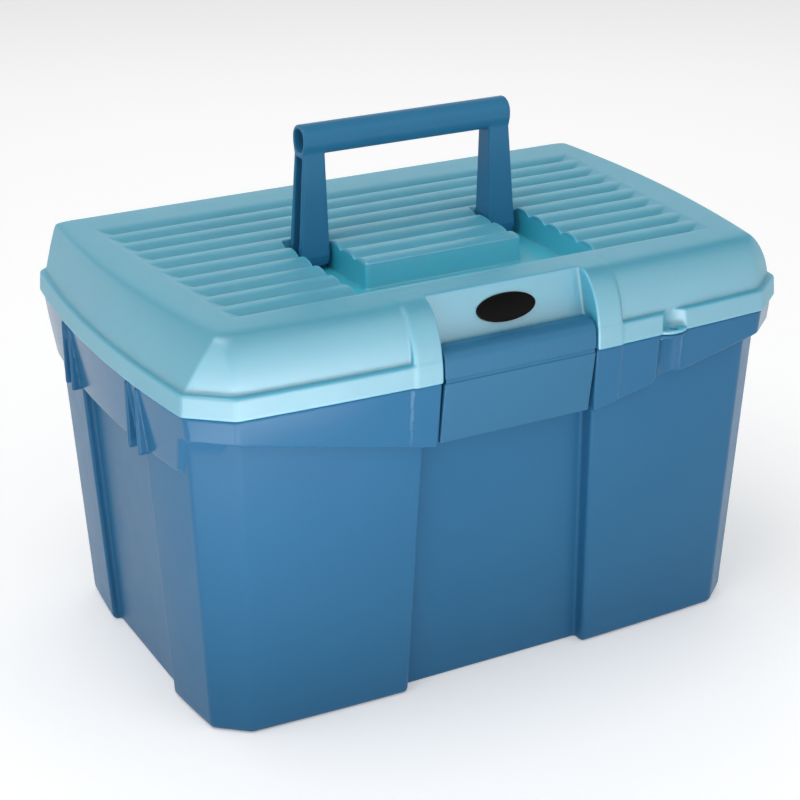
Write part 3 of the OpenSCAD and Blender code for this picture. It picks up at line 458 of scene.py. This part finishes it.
def flap_field(x, y, z):
    ax = np.abs(x)
    v = np.clip((PART_Z - SLIT - z) / (FLAP_H - SLIT), 0, 1)
    face = FACE_Y + FLAP_LEAN * v
    d = smax(slab(y, face, face + LATCH_T), slab(z, PART_Z - FLAP_H, PART_Z - SLIT), 0.9)
    d = smax(d, ax - LATCH_HALF, 0.9)
    hz = CATCH_Z - CATCH_GAP
    tip = SEAT_Y + HOOK_REACH
    low = hz - 2 * HOOK_T + (y - FACE_Y - FLAP_LEAN) * HOOK_T / (tip - FACE_Y - FLAP_LEAN)
    hook = smax(smax(low - z, z - hz, 0.6), slab(y, FACE_Y + FLAP_LEAN + HOOK_ROOT, tip), 0.6)
    hook = smax(hook, ax - CATCH_HALF + HOOK_LESS, 0.6)
    return smin(d, hook, 1.0)


def round_plate(x, y, hx, hy, r):
    """Distance from a rectangle with these half lengths and round corners."""
    px, py = np.maximum(np.abs(x) - hx + r, 0), np.maximum(np.abs(y) - hy + r, 0)
    return np.hypot(px, py) - r + np.minimum(np.maximum(np.abs(x) - hx + r, np.abs(y) - hy + r), 0)


def tray_field(x, y, z):
    ix, iy = TRAY_X - 2 * TRAY_T, TRAY_Y - 2 * TRAY_T
    top = TRAY_Z + TRAY_H
    d = round_plate(x, y, TRAY_X - TRAY_T, TRAY_Y - TRAY_T, TRAY_R)
    d = smax(d, slab(z, TRAY_Z, top - LIP_LAP), 1.2)
    lip = smax(round_plate(x, y, TRAY_X, TRAY_Y, TRAY_R + LIP_OUT), slab(z, top - LIP_T, top), 1.0)
    d = smin(d, lip, 0.8)
    # one long pocket in front and three behind it
    rooms = FAR
    y1 = TRAY_T - LONG_WALL_Y
    near, far = ix / 3 - TRAY_T / 2, ix / 3 + TRAY_T / 2
    pockets = ((-ix, -iy, ix, -LONG_WALL_Y), (-ix, y1, -far, iy), (-near, y1, near, iy), (far, y1, ix, iy))
    for a, b, c, e in pockets:
        pocket = round_plate(x - (a + c) / 2, y - (b + e) / 2, (c - a) / 2, (e - b) / 2, POCKET_R)
        rooms = np.minimum(rooms, pocket)
    rooms = np.maximum(rooms, round_plate(x, y, ix, iy, TRAY_R - TRAY_T))
    d = cut(d, smax(rooms, TRAY_Z + TRAY_T - z, 3.0), 0.9)
    notch = np.hypot(y + NOTCH_Y, z - TRAY_Z - TRAY_H) - NOTCH_R
    return cut(d, np.maximum(notch, TRAY_X - 3 * TRAY_T - np.abs(x)), 0.9)


def badge_field(x, y, z):
    c, s = math.cos(BADGE_A), math.sin(BADGE_A)
    z0 = BADGE_Z0 + BADGE_UP
    y0 = SEAT_Y + PANEL_STEP + math.tan(BADGE_A) * BADGE_UP
    up = (z - z0) * c + (y - y0) * s
    out = -(y - y0) * c + (z - z0) * s
    rx, ry = BADGE_L / 2, BADGE_W / 2
    e = np.sqrt((x / rx) ** 2 + (up / ry) ** 2)
    g = np.sqrt((x / rx ** 2) ** 2 + (up / ry ** 2) ** 2) / np.maximum(e, 0.05) + 1e-3
    crown = out - BADGE_T + BADGE_CROWN * e * e
    return smax(smax((e - 1) / np.maximum(g, 0.05), crown, 0.7), -out, 0.2)


def gradient(field, p, e=0.12):
    g = np.empty_like(p)
    for i in range(3):
        a, b = p.copy(), p.copy()
        a[:, i] += e
        b[:, i] -= e
        g[:, i] = (field(*a.T) - field(*b.T)) / (2 * e)
    return g


def settle(field, p, rounds):
    """Moves points onto the zero surface of the field."""
    for _ in range(rounds):
        f, g = field(*p.T), gradient(field, p)
        step = f / np.maximum((g * g).sum(1), 0.05)
        p = p - np.clip(step, -0.5, 0.5)[:, None] * g
    return p


def cell_points(val, cells, corners):
    """Mean of the points where the surface crosses the edges of each cell, in grid steps."""
    total, count = np.zeros((len(cells), 3)), np.zeros(len(cells))
    for p in corners:
        for q in corners:
            if sum(abs(i - j) for i, j in zip(p, q)) == 1 and p < q:
                va, vb = val[tuple((cells + p).T)], val[tuple((cells + q).T)]
                hit = (va < 0) != (vb < 0)
                t = np.where(hit, va / np.where(hit, va - vb, 1), 0)
                total += np.where(hit[:, None], np.array(p) + t[:, None] * (np.array(q) - np.array(p)), 0)
                count += hit
    return cells + total / count[:, None]


def cell_quads(ins, index):
    """A face for each grid edge that the surface crosses, from the points of the four cells around it."""
    quads = []
    for axis in range(3):
        a = [slice(None)] * 3
        b = [slice(None)] * 3
        a[axis], b[axis] = slice(0, -1), slice(1, None)
        first, second = ins[tuple(a)], ins[tuple(b)]
        u, v = [i for i in range(3) if i != axis]
        for sign, here in ((1, first & ~second), (-1, ~first & second)):
            e = np.argwhere(here)
            e = e[(e[:, u] > 0) & (e[:, v] > 0) & (e[:, u] < index.shape[u]) & (e[:, v] < index.shape[v])]
            ring = []
            for du, dv in ((1, 1), (0, 1), (0, 0), (1, 0)):
                c = e.copy()
                c[:, u] -= du
                c[:, v] -= dv
                ring.append(index[tuple(c.T)])
            ring = np.stack(ring, 1)
            quads.append(ring if (sign > 0) != (axis == 1) else ring[:, ::-1])
    return np.concatenate(quads)


def mesh_object(name, pts, faces):
    """Object of four-sided faces, from points in millimetres."""
    pts, faces = np.asarray(pts, np.float32) / PER_METRE, np.asarray(faces, np.int32)
    me = bpy.data.meshes.new(name)
    me.vertices.add(len(pts))
    me.vertices.foreach_set("co", pts.ravel())
    me.loops.add(faces.size)
    me.loops.foreach_set("vertex_index", faces.ravel())
    me.polygons.add(len(faces))
    me.polygons.foreach_set("loop_start", np.arange(0, faces.size, 4, dtype=np.int32))
    me.update(calc_edges=True)
    ob = bpy.data.objects.new(name, me)
    bpy.context.scene.collection.objects.link(ob)
    return ob


def places(me):
    """Points of a mesh in millimetres."""
    co = np.empty(len(me.vertices) * 3, np.float32)
    me.vertices.foreach_get("co", co)
    return co.reshape(-1, 3) * PER_METRE


def skin(name, field, lo, hi, step, faces):
    """Mesh of the zero surface of a field, thinned to about that many faces, with normals from the field."""
    step = step * COARSE
    axes = [np.arange(a, b + step, step) for a, b in zip(lo, hi)]
    xs, ys, zs = (a.astype(np.float32) for a in axes)
    val = np.empty((len(xs), len(ys), len(zs)), np.float32)
    batch = 24
    for i in range(0, len(xs), batch):
        val[i:i + batch] = field(xs[i:i + batch, None, None], ys[None, :, None], zs[None, None, :])
    ins = val < 0
    corners = [(a, b, c) for a in (0, 1) for b in (0, 1) for c in (0, 1)]
    n = np.zeros(tuple(s - 1 for s in val.shape), np.uint8)
    for a, b, c in corners:
        n += ins[a:ins.shape[0] - 1 + a, b:ins.shape[1] - 1 + b, c:ins.shape[2] - 1 + c]
    cells = np.argwhere((n > 0) & (n < 8))
    index = np.full(n.shape, -1, np.int32)
    index[tuple(cells.T)] = np.arange(len(cells))
    pts = np.array([a[0] for a in axes]) + cell_points(val, cells, corners) * step
    quads = cell_quads(ins, index)
    ob = mesh_object(name, settle(field, pts.astype(np.float32), 1), quads)
    share = faces / (2 * len(quads))
    if share < 1:
        m = ob.modifiers.new("thin", "DECIMATE")
        m.ratio = share
        done = bpy.data.meshes.new_from_object(ob.evaluated_get(bpy.context.evaluated_depsgraph_get()))
        ob.modifiers.clear()
        ob.data = done
    me = ob.data
    me.name = name
    p = settle(field, places(me), 2)
    me.vertices.foreach_set("co", (p / PER_METRE).astype(np.float32).ravel())
    g = gradient(field, p)
    g /= np.maximum(np.linalg.norm(g, axis=1), 1e-6)[:, None]
    me.polygons.foreach_set("use_smooth", np.ones(len(me.polygons), bool))
    me.normals_split_custom_set_from_vertices(g.tolist())
    me.update()
    return ob


# Materials.
def lin(r, g, b):
    """Linear colour of an sRGB colour from 0 to 255."""
    return tuple(((c / 255 + 0.055) / 1.055) ** 2.4 if c > 10 else c / 255 / 12.92 for c in (r, g, b))


def mapped(nt, source, lo, hi, first, second):
    """Value that goes from first to second while the source goes from lo to hi."""
    m = nt.nodes.new("ShaderNodeMapRange")
    m.inputs["From Min"].default_value = lo
    m.inputs["From Max"].default_value = hi
    m.inputs["To Min"].default_value = first
    m.inputs["To Max"].default_value = second
    nt.links.new(source, m.inputs["Value"])
    return m.outputs["Result"]


def combined(nt, operation, a, b):
    m = nt.nodes.new("ShaderNodeMath")
    m.operation = operation
    nt.links.new(a, m.inputs[0])
    nt.links.new(b, m.inputs[1])
    return m.outputs[0]


def within(nt, co, lo, hi, soft):
    """Output that is 1 inside a box, in metres of the object, and fades to 0 towards its edge."""
    parts = nt.nodes.new("ShaderNodeSeparateXYZ")
    nt.links.new(co.outputs["Object"], parts.inputs[0])
    sides = []
    for axis, a, b in zip("XYZ", lo, hi):
        sides.append(mapped(nt, parts.outputs[axis], a, a + soft, 0.0, 1.0))
        sides.append(mapped(nt, parts.outputs[axis], b - soft, b, 1.0, 0.0))
    last = sides[0]
    for side in sides[1:]:
        last = combined(nt, "MULTIPLY", last, side)
    return last


def noise(nt, co, scale, detail):
    n = nt.nodes.new("ShaderNodeTexNoise")
    n.inputs["Scale"].default_value = scale
    n.inputs["Detail"].default_value = detail
    nt.links.new(co.outputs["Object"], n.inputs["Vector"])
    return n


def plastic(name, rgb, light, rough, ior, grain=0.15, scale=900.0):
    """Moulded plastic: faint flow marks in the colour, fine grain in the bump, and uneven gloss."""
    m = bpy.data.materials.new(name)
    m.use_nodes = True
    nt = m.node_tree
    nt.nodes.clear()
    out = nt.nodes.new("ShaderNodeOutputMaterial")
    s = nt.nodes.new("ShaderNodeBsdfPrincipled")
    nt.links.new(s.outputs[0], out.inputs[0])
    co = nt.nodes.new("ShaderNodeTexCoord")
    flow = noise(nt, co, 9.0, 4.0)
    flow.inputs["Distortion"].default_value = 0.6
    ramp = nt.nodes.new("ShaderNodeValToRGB")
    for stop, position, colour in zip(ramp.color_ramp.elements, (0.25, 0.75), (rgb, light)):
        stop.position = position
        stop.color = (*lin(*colour), 1)
    nt.links.new(flow.outputs["Fac"], ramp.inputs["Fac"])
    nt.links.new(ramp.outputs["Color"], s.inputs["Base Color"])
    gloss = noise(nt, co, 60.0, 5.0)
    nt.links.new(mapped(nt, gloss.outputs["Fac"], 0, 1, rough - 0.06, rough + 0.06), s.inputs["Roughness"])
    bump = nt.nodes.new("ShaderNodeBump")
    bump.inputs["Strength"].default_value = grain
    bump.inputs["Distance"].default_value = 0.00012
    nt.links.new(noise(nt, co, scale, 2.0).outputs["Fac"], bump.inputs["Height"])
    nt.links.new(bump.outputs["Normal"], s.inputs["Normal"])
    s.inputs["IOR"].default_value = ior
    return m


# The lid's pearl pigment reflects more than plain plastic does, hence its high refractive index.
lid_aqua = plastic("lid_aqua", (10, 158, 186), (15, 162, 189), rough=0.50, ior=3.1)
tree = lid_aqua.node_tree
shader = tree.nodes["Principled BSDF"]
shader.inputs["Subsurface Weight"].default_value = 1.0
shader.inputs["Subsurface Radius"].default_value = (0.3, 1.0, 1.2)
shader.inputs["Subsurface Scale"].default_value = 0.004
# The walls of the handle bay get a deeper, stronger colour: painted light, standing in for the light that
# bounces between the bay's walls.
bay_bounce_tint = tree.nodes.new("ShaderNodeMix")
bay_bounce_tint.data_type = "RGBA"
bay_bounce_tint.inputs["B"].default_value = (*lin(3, 184, 207), 1)
tree.links.new(shader.inputs["Base Color"].links[0].from_socket, bay_bounce_tint.inputs["A"])
low = (-BAY_HALF / PER_METRE - 0.002, BAY_FRONT / PER_METRE - 0.002, BAY_Z / PER_METRE - 0.003)
high = (BAY_HALF / PER_METRE + 0.002, BAY_BACK / PER_METRE + 0.002, TOP_Z / PER_METRE - 0.002)
# Box of the handle bay, where the painted bounce light is mixed into the base colour.
bay_bounce_mask = within(tree, tree.nodes["Texture Coordinate"], low, high, 0.0015)
tree.links.new(bay_bounce_mask, bay_bounce_tint.inputs["Factor"])
tree.links.new(bay_bounce_tint.outputs["Result"], shader.inputs["Base Color"])

tub_blue = plastic("tub_blue", (45, 106, 148), (49, 110, 151), rough=0.34, ior=1.28)
tree = tub_blue.node_tree
shader = tree.nodes["Principled BSDF"]
# The skirt is glossier than the rest; the mesh says where the skirt is.
skirt = tree.nodes.new("ShaderNodeAttribute")
skirt.attribute_name = "skirt"
less = mapped(tree, skirt.outputs["Fac"], 0, 1, 0.0, 0.18)
rough = combined(tree, "SUBTRACT", shader.inputs["Roughness"].links[0].from_socket, less)
tree.links.new(rough, shader.inputs["Roughness"])

handle_blue = plastic("handle_blue", (41, 112, 152), (45, 116, 155), rough=0.40, ior=1.34,
                      grain=0.3, scale=700.0)
latch_blue = plastic("latch_blue", (38, 103, 142), (42, 107, 145), rough=0.38, ior=1.42,
                     grain=0.3, scale=700.0)
tray_aqua = plastic("tray_aqua", (60, 160, 184), (66, 164, 187), rough=0.40, ior=1.7)
badge_black = plastic("badge_black", (2, 2, 2), (4, 4, 4), rough=0.10, ior=1.22, grain=0.02, scale=300.0)
pin_steel = plastic("pin_steel", (178, 181, 184), (196, 198, 200), rough=0.30, ior=1.5,
                    grain=0.2, scale=1500.0)
pin_steel.node_tree.nodes["Principled BSDF"].inputs["Metallic"].default_value = 1.0


def add(ob, body, node, material):
    """Puts a piece on its body, in place of a CAD node."""
    ob.data.materials.clear()
    ob.data.materials.append(material)
    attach(ob, body)
    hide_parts(node)


tub_shell = skin("tub_shell", tub_field, (-202, -141, -2), (202, 140, 207), 1.25, 190000)
px, py, pz = places(tub_shell.data).T
on_skirt = np.clip(2 - np.abs(skirt_body(np.abs(px), py, pz, 0, 1.3)) / 0.6, 0, 1) * (pz > SKIRT_Z - 1)
mark = tub_shell.data.attributes.new("skirt", "FLOAT", "POINT")
mark.data.foreach_set("value", on_skirt.astype(np.float32))
add(tub_shell, "tub", "tub", tub_blue)

lid_shell = skin("lid_shell", lid_field, (-202, -141, 197), (202, 140, 248), 0.95, 190000)
add(lid_shell, "lid", "lid", lid_aqua)
handle_bar = skin("handle_bar", handle_field, (-84, -11, 226), (84, 11, 318), 0.7, 60000)
add(handle_bar, "handle", "handle", handle_blue)
latch_cover = skin("latch_cover", plate_field, (-50, -139, 201), (50, -118, 222), 0.55, 40000)
add(latch_cover, "lid", "latch_plate", latch_blue)
latch_tongue = skin("latch_tongue", flap_field, (-50, -139, 161), (50, -117, 204), 0.6, 40000)
add(latch_tongue, "latch_flap", "latch_flap", latch_blue)
badge_oval = skin("badge_oval", badge_field, (-21, -124, 218), (21, -109, 244), 0.35, 20000)
add(badge_oval, "lid", "badge", badge_black)
kit_tray = skin("kit_tray", tray_field, (-179, -110, 149), (179, 110, 196), 1.1, 90000)
add(kit_tray, "tray", "tray", tray_aqua)

# Film hinge: a thin strip between plate and flap, sagging a little, with a bead along its middle.
ROWS, COLUMNS = 12, 24
film_pts, film_faces = [], []
for side in (-1, 1):
    for i in range(ROWS + 1):
        zz = PART_Z + SLIT + FILM_LAP - (2 * SLIT + 2 * FILM_LAP) * i / ROWS
        v = 2 * i / ROWS - 1
        bead = BEAD_T * math.exp(-(v / 0.3) ** 2)
        yy = FILM_Y + side * FILM_T / 4 - bead * (1 - side) / 2 + FILM_SAG * (1 - v * v)
        for j in range(COLUMNS + 1):
            xx = -LATCH_HALF + FILM_SHORT + (2 * LATCH_HALF - 2 * FILM_SHORT) * j / COLUMNS
            film_pts.append((xx, yy, zz))
row = COLUMNS + 1
half = (ROWS + 1) * row
for i in range(ROWS):
    for j in range(COLUMNS):
        a = i * row + j
        film_faces.append((a, a + 1, a + row + 1, a + row))
        film_faces.append((half + a, half + a + row, half + a + row + 1, half + a + 1))
film = mesh_object("film_hinge", film_pts, film_faces)
film.data.materials.append(latch_blue)
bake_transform(film)
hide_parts("latch_film")

for name in ("hinge_pin_left", "hinge_pin_right"):
    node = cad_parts[name]
    node.data.materials.clear()
    node.data.materials.append(pin_steel)
    m = node.modifiers.new("smooth", "WEIGHTED_NORMAL")
    m.keep_sharp = True


# Floor, light and camera.
def seen(tree):
    """Output that is 1 for what is seen, in a mirror or through glass too, and 0 for light on the object."""
    rays = tree.nodes.new("ShaderNodeLightPath")
    last = rays.outputs["Is Camera Ray"]
    for name in ("Is Glossy Ray", "Is Transmission Ray"):
        last = combined(tree, "MAXIMUM", last, rays.outputs[name])
    return last


def spread_by(tree, axis, lo, hi, first, second):
    """Strength that changes from first to second between two values of one direction axis."""
    way = tree.nodes.new("ShaderNodeTexCoord")
    parts = tree.nodes.new("ShaderNodeSeparateXYZ")
    tree.links.new(way.outputs["Generated"], parts.inputs[0])
    strength = mapped(tree, parts.outputs[axis], lo, hi, first, second)
    strength.node.interpolation_type = "SMOOTHSTEP"
    return strength


def floor_material():
    """White floor that keeps shadows and is a little brighter where it is seen."""
    m = bpy.data.materials.new("floor_white")
    m.use_nodes = True
    nt = m.node_tree
    s = nt.nodes["Principled BSDF"]
    s.inputs["Base Color"].default_value = (0.88, 0.88, 0.88, 1)
    s.inputs["Roughness"].default_value = 0.9
    e = nt.nodes.new("ShaderNodeEmission")
    e.inputs["Strength"].default_value = 0.26
    both = nt.nodes.new("ShaderNodeAddShader")
    mix = nt.nodes.new("ShaderNodeMixShader")
    nt.links.new(s.outputs[0], both.inputs[0])
    nt.links.new(e.outputs[0], both.inputs[1])
    nt.links.new(seen(nt), mix.inputs[0])
    nt.links.new(s.outputs[0], mix.inputs[1])
    nt.links.new(both.outputs[0], mix.inputs[2])
    nt.links.new(mix.outputs[0], nt.nodes["Material Output"].inputs[0])
    return m


edge = 6 * PER_METRE
floor_pts = [(-edge, -edge, 0), (edge, -edge, 0), (edge, edge, 0), (-edge, edge, 0)]
floor = mesh_object("floor", floor_pts, [(0, 1, 2, 3)])
floor.data.materials.append(floor_material())

# The room lights the object from all round; what is seen of it is white at the horizon and darker overhead.
world = bpy.data.worlds.new("studio")
bpy.context.scene.world = world
world.use_nodes = True
wt = world.node_tree
room = wt.nodes["Background"]
room.inputs["Color"].default_value = (1, 1, 1, 1)
wt.links.new(spread_by(wt, "Y", -1.0, 1.0, 0.45, 0.68), room.inputs["Strength"])
white = wt.nodes.new("ShaderNodeBackground")
white.inputs["Color"].default_value = (1, 1, 1, 1)
wt.links.new(spread_by(wt, "Z", -0.15, 0.85, 1.0, 0.1), white.inputs["Strength"])
mix = wt.nodes.new("ShaderNodeMixShader")
wt.links.new(seen(wt), mix.inputs[0])
wt.links.new(room.outputs[0], mix.inputs[1])
wt.links.new(white.outputs[0], mix.inputs[2])
wt.links.new(mix.outputs[0], wt.nodes["World Output"].inputs[0])


def lamp(name, size, strength):
    """Lit panel of this size in metres, hidden from the camera. Its light per area is set by strength."""
    d = bpy.data.lights.new(name, "AREA")
    d.shape = "RECTANGLE"
    d.size, d.size_y = size
    d.energy = 4 * strength * size[0] * size[1]
    ob = bpy.data.objects.new(name, d)
    ob.visible_camera = False
    bpy.context.scene.collection.objects.link(ob)
    return ob


def softbox(name, turn, rise, size, strength):
    """Panel 1.6 m from the middle of the box, turned from the front and raised by these angles."""
    a, e = math.radians(turn), math.radians(rise)
    v = Vector((math.sin(a) * math.cos(e), -math.cos(a) * math.cos(e), math.sin(e)))
    ob = lamp(name, size, strength)
    ob.location = Vector((0, 0, 0.15)) + 1.6 * v
    ob.rotation_mode = "QUATERNION"
    ob.rotation_quaternion = (-v).to_track_quat("-Z", "Y")


def bounce(name, x, y, turn, size, strength):
    """Bright card on the floor in front of the box, facing up."""
    ob = lamp(name, size, strength)
    ob.location = (x, y, 0.012)
    ob.rotation_euler = (math.pi, 0, math.radians(turn))


softbox("left", -53, 22, (0.7, 0.7), 0.9)
softbox("front", 2, 9, (0.7, 0.7), 1.1)
softbox("high", 24, 41, (1.0, 0.7), 0.85)
softbox("top", -72, 66, (1.1, 1.1), 1.6)
softbox("back", 152, 30, (1.8, 0.7), 0.45)
bounce("far_card", -0.1, -0.82, -14, (1.0, 0.45), 1.25)
bounce("far_corner_card", -0.76, -0.60, 38, (0.5, 0.4), 2.0)
bounce("card", -0.16, -0.43, -14, (0.38, 0.12), 5.5)
bounce("corner_card", -0.42, -0.31, 38, (0.18, 0.12), 5.0)

# The camera stands where the photo was taken from, as fitted to the edges of the box.
CAMERA_X, CAMERA_Y, CAMERA_Z = -0.53081, -0.98947, 0.61128
yaw, pitch, roll = math.radians(28.0467), math.radians(23.1484), math.radians(-0.3814)
forward = Vector((math.sin(yaw) * math.cos(pitch), math.cos(yaw) * math.cos(pitch), -math.sin(pitch)))
level = Vector((math.cos(yaw), -math.sin(yaw), 0))
right = level * math.cos(roll) + level.cross(forward) * math.sin(roll)
up = right.cross(forward)
cam = bpy.data.cameras.new("camera")
cam.lens, cam.sensor_width, cam.sensor_fit = 88.79, 36.0, "HORIZONTAL"
cam.clip_start, cam.clip_end = 0.05, 50
eye = bpy.data.objects.new("camera", cam)
eye.matrix_world = Matrix(((right.x, up.x, -forward.x, CAMERA_X), (right.y, up.y, -forward.y, CAMERA_Y),
                           (right.z, up.z, -forward.z, CAMERA_Z), (0, 0, 0, 1)))
bpy.context.scene.collection.objects.link(eye)
bpy.context.scene.camera = eye
bpy.context.scene.view_settings.view_transform = "Standard"
